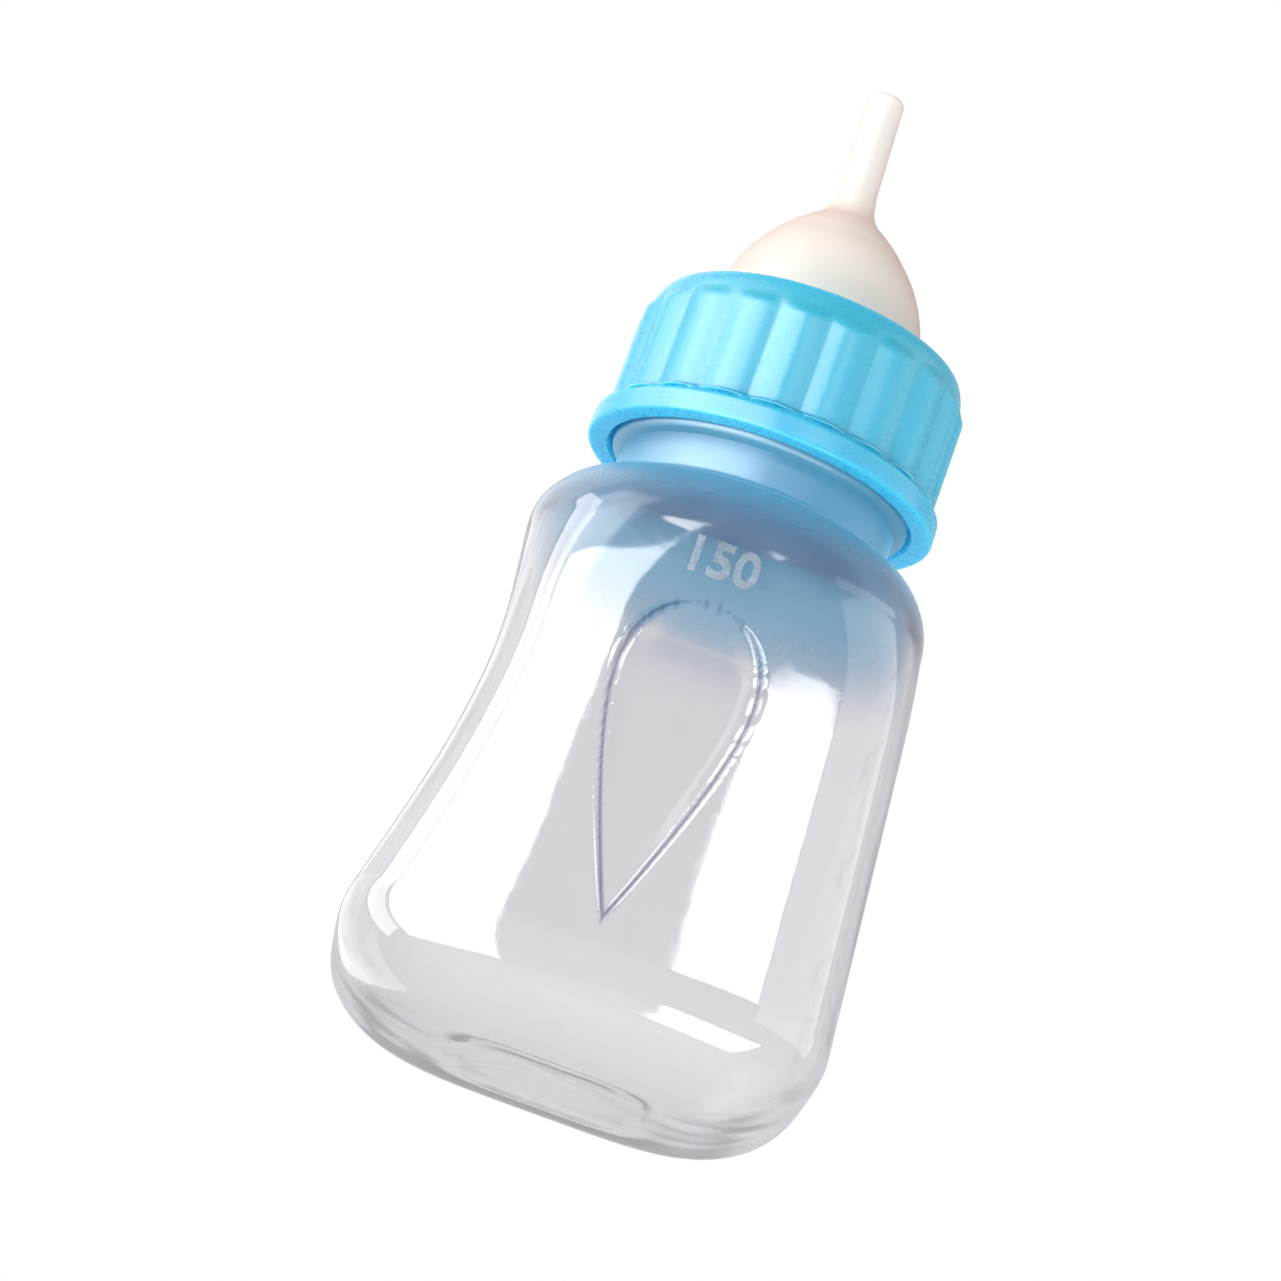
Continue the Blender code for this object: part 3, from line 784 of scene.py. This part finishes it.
def milky_silicone():
    """Liquid silicone rubber, moulded: off-white and satin, and light passes a few millimetres into it,
    which softens its shading. Faces seen aslant are painted darker and warmer, painted shade at the
    edges, so this one tint moves with the view."""
    material, tree, output = new_material("moulded_milky_silicone")
    cloud = unevenness(tree, 6 * MM, detail=3.0)
    grain = unevenness(tree, 0.45 * MM, detail=3.0)
    cloud = MIDDLE_HALF | {"Value": cloud, "To Min": 0.0, "To Max": 1.0}
    cloud = add_node(tree, "ShaderNodeMapRange", inputs=cloud, output="Result")
    tints = {"Factor": cloud, "A": colour("#FDF4E8"), "B": colour("#FBEEE2")}
    tint = add_node(tree, "ShaderNodeMix", OF_COLOURS, tints, "Result")
    # Painted shade: edges seen aslant are blended towards a darker, warmer pink.
    aslant = add_node(tree, "ShaderNodeLayerWeight", inputs={"Blend": 0.4}, output="Facing")
    aslant = add_node(tree, "ShaderNodeMath", {"operation": "POWER"}, {0: aslant, 1: 1.7}, "Value")
    edge = {"Factor": aslant, "A": tint, "B": colour("#BA9588")}
    gloss = MIDDLE_HALF | {"Value": grain, "To Min": 0.36, "To Max": 0.5}
    relief = {"Height": grain, "Distance": 0.012 * MM}
    shader = add_node(
        tree,
        "ShaderNodeBsdfPrincipled",
        inputs={
            "Base Color": add_node(tree, "ShaderNodeMix", OF_COLOURS, edge, "Result"),
            "Roughness": add_node(tree, "ShaderNodeMapRange", inputs=gloss, output="Result"),
            "Specular IOR Level": 0.18,
            "Subsurface Weight": 0.6,
            "Subsurface Radius": (1.0, 0.85, 0.75),
            "Subsurface Scale": 3.0 * MM,
            "Normal": add_node(tree, "ShaderNodeBump", inputs=relief, output="Normal"),
        },
        output="BSDF",
    )
    tree.links.new(shader, output.inputs["Surface"])
    return material


def studio_floor():
    """Matt white studio paper, with the faint tooth of its surface."""
    material, tree, output = new_material("matt_white_paper")
    tooth = unevenness(tree, 1.5 * MM)
    matt = MIDDLE_HALF | {"Value": tooth, "To Min": 0.85, "To Max": 0.95}
    relief = {"Height": tooth, "Distance": 0.02 * MM}
    shader = add_node(
        tree,
        "ShaderNodeBsdfPrincipled",
        inputs={
            "Base Color": colour("#F2F2F3"),
            "Roughness": add_node(tree, "ShaderNodeMapRange", inputs=matt, output="Result"),
            "Normal": add_node(tree, "ShaderNodeBump", inputs=relief, output="Normal"),
        },
        output="BSDF",
    )
    tree.links.new(shader, output.inputs["Surface"])
    return material


# Studio


def make_camera():
    """A camera below the bottle, looking up at its front, rolled so that the bottle leans to the right.
    """
    up_angle, roll = CAMERA_LOOKS_UP, CAMERA_ROLL
    forward = Vector((0, math.cos(up_angle), math.sin(up_angle)))
    level = Vector((1, 0, 0))
    upright = Vector((0, -math.sin(up_angle), math.cos(up_angle)))
    right = level * math.cos(roll) + upright * math.sin(roll)
    up = upright * math.cos(roll) - level * math.sin(roll)
    data = bpy.data.cameras.new("camera")
    data.lens = CAMERA_LENS
    data.sensor_width = 36.0
    data.clip_start = 0.01
    camera = bpy.data.objects.new("camera", data)
    turn = Matrix((right, up, -forward)).transposed().to_4x4()
    camera.matrix_world = Matrix.Translation(CAMERA_AIM - forward * CAMERA_DISTANCE) @ turn
    bpy.context.scene.collection.objects.link(camera)
    bpy.context.scene.camera = camera


def add_panel(name, azimuths, elevations, distance, brightness, tint="#FFFFFF", shows_in="glossy"):
    """An upright rectangular lamp that faces the bottle's axis. It fills the azimuths and elevations
    given, in degrees as seen from the bottle: azimuth 0 is in front and 90 on the right. It draws stripes
    on glossy walls, or lights matt ones, or does both."""
    middle = math.radians(sum(azimuths) / 2)
    low, high = (distance * math.tan(math.radians(e)) for e in elevations)
    width = 2 * distance * math.tan(math.radians(azimuths[1] - azimuths[0]) / 2)
    data = bpy.data.lights.new(name, "AREA")
    data.shape = "RECTANGLE"
    data.size, data.size_y = width, high - low
    data.energy = brightness * math.pi * width * (high - low)
    data.color = colour(tint)[:3]
    light = bpy.data.objects.new(name, data)
    outward = Vector((math.sin(middle), -math.cos(middle), 0))
    place = outward * distance + Vector((0, 0, (low + high) / 2 + LAMPS_AIM))
    light.matrix_world = Matrix.Translation(place) @ outward.to_track_quat("Z", "Y").to_matrix().to_4x4()
    light.visible_diffuse = shows_in != "glossy"
    light.visible_glossy = light.visible_transmission = shows_in != "matt"
    if shows_in == "glossy":
        on_first_wall_only(data)
    bpy.context.scene.collection.objects.link(light)


def on_first_wall_only(lamp):
    """The lamp counts only for rays that have not yet passed through a wall, so that its stripe isn't
    mirrored again inside the clear bottle."""
    lamp.use_nodes = True
    tree = lamp.node_tree
    tree.nodes.clear()
    walls = add_node(tree, "ShaderNodeLightPath", output="Transmission Depth")
    outside = add_node(tree, "ShaderNodeMath", {"operation": "LESS_THAN"}, {0: walls, 1: 0.5}, "Value")
    emission = add_node(tree, "ShaderNodeEmission", inputs={"Strength": outside}, output="Emission")
    add_node(tree, "ShaderNodeOutputLight", inputs={"Surface": emission})


def make_world():
    """A white backdrop, and a studio that is bright for matt surfaces. Clear and glossy walls show a grey
    room: light behind and beside the bottle, and in front of it light low down and darker above."""
    world = bpy.data.worlds.new("studio")
    bpy.context.scene.world = world
    world.use_nodes = True
    tree = world.node_tree
    tree.nodes.clear()
    sky = add_node(tree, "ShaderNodeTexCoord", output="Generated")
    axes = add_node(tree, "ShaderNodeSeparateXYZ", inputs={"Vector": sky}).outputs
    rise = {"Value": axes["Z"], "From Min": ROOM_LIGHT_BELOW, "From Max": ROOM_DARK_ABOVE}
    rise = add_node(tree, "ShaderNodeMapRange", EASED, rise, "Result")
    in_front = {"Value": axes["Y"], "From Min": 0.1, "From Max": -0.4}
    in_front = add_node(tree, "ShaderNodeMapRange", EASED, in_front, "Result")
    ray = add_node(tree, "ShaderNodeLightPath").outputs
    front = {"Factor": rise, "A": colour(ROOM_LOW), "B": colour(ROOM_HIGH)}
    light = add_node(tree, "ShaderNodeMix", OF_COLOURS, front, "Result")
    room = {"Factor": in_front, "A": colour(ROOM_BACK), "B": light}
    light = add_node(tree, "ShaderNodeMix", OF_COLOURS, room, "Result")
    matt = {"Factor": ray["Is Diffuse Ray"], "A": light, "B": colour(FILL_LIGHT)}
    light = add_node(tree, "ShaderNodeMix", OF_COLOURS, matt, "Result")
    backdrop = {"Factor": ray["Is Camera Ray"], "A": light, "B": WHITE}
    light = add_node(tree, "ShaderNodeMix", OF_COLOURS, backdrop, "Result")
    background = {"Color": light, "Strength": 1.0}
    background = add_node(tree, "ShaderNodeBackground", inputs=background, output="Background")
    add_node(tree, "ShaderNodeOutputWorld", inputs={"Surface": background})


def make_floor():
    """A plain pale floor, well below the low camera."""
    edge = np.linspace(-FLOOR_HALF, FLOOR_HALF, 9)
    x, y = np.meshgrid(edge, edge)
    points = np.stack([x, y, np.full_like(x, FLOOR_HEIGHT)], axis=-1).reshape(-1, 3)
    index = np.arange(x.size).reshape(x.shape)
    corners = [index[:-1, :-1], index[:-1, 1:], index[1:, 1:], index[1:, :-1]]
    quads = np.stack(corners, axis=-1).reshape(-1, 4)
    floor = mesh_object("floor", points, quads, np.zeros((0, 3), int))
    floor.data.materials.append(studio_floor())


def finish_piece(obj, material, body, node=None):
    """Gives a piece its material, ties it to its body, and hides the node that it replaces, if one is given.
    """
    obj.data.materials.clear()
    obj.data.materials.append(material)
    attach(obj, body)
    if node is not None:
        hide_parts(node)


def main():
    bpy.context.scene.view_settings.view_transform = "Standard"
    make_camera()
    make_world()
    make_floor()
    add_panel("front_left_panel", (-79, -7), (-62, 38), PANEL_DISTANCE, 13.0)
    add_panel("left_panel", (-112, -84), (-50, 45), PANEL_DISTANCE, 5.5, "#FFF6F4")
    add_panel("far_left_panel", (-165, -116), (-40, 60), PANEL_DISTANCE, 0.8)
    add_panel("front_right_panel", (5, 35), (21, 27.7), PANEL_DISTANCE, 13.0)
    add_panel("right_panel", (36, 112), (-15, 50), PANEL_DISTANCE, 2.0)
    add_panel("low_right_panel", (6, 60), (-66, -42), PANEL_DISTANCE, 12.0)
    add_panel("from_below", (-40, 60), (-62, -35), PANEL_DISTANCE, 3.2, shows_in="matt")
    add_panel("back_light", (135, 225), (-25, 50), PANEL_DISTANCE, 2.6, shows_in="matt")
    add_panel("key", (-95, -45), (10, 60), KEY_DISTANCE, 2.8, shows_in="both")

    finish_piece(make_bottle(), clear_polypropylene(), "bottle", "bottle")
    marks = moulded_marks()
    front = raised_text(
        "volume_numeral",
        FRONT_NUMERAL,
        FRONT_NUMERAL_SIZE,
        FRONT_NUMERAL_HEIGHT,
        FRONT_NUMERAL_PROUD,
        across=FRONT_NUMERAL_ACROSS,
        front=True,
    )
    finish_piece(front, marks, "bottle")
    heights = scale_heights(SCALE_VOLUMES)
    numbered = SCALE_VOLUMES % NUMBERED_EVERY == 0
    lengths = np.where(numbered, LONG_LINE, SHORT_LINE)
    scale = make_scale_lines("volume_scale", heights, lengths, LINE_THICK, LINE_PROUD)
    finish_piece(scale, marks, "bottle")
    for volume, height in zip(SCALE_VOLUMES[numbered], heights[numbered]):
        numeral = raised_text(
            f"scale_{volume}",
            str(volume),
            SCALE_NUMERAL_SIZE,
            height,
            SCALE_NUMERAL_PROUD,
            across=SCALE_NUMERAL_ACROSS,
        )
        finish_piece(numeral, marks, "bottle")
    finish_piece(make_ring(), blue_polypropylene(), "ring", "screw_ring")
    finish_piece(make_teat(), milky_silicone(), "teat", "teat")


main()
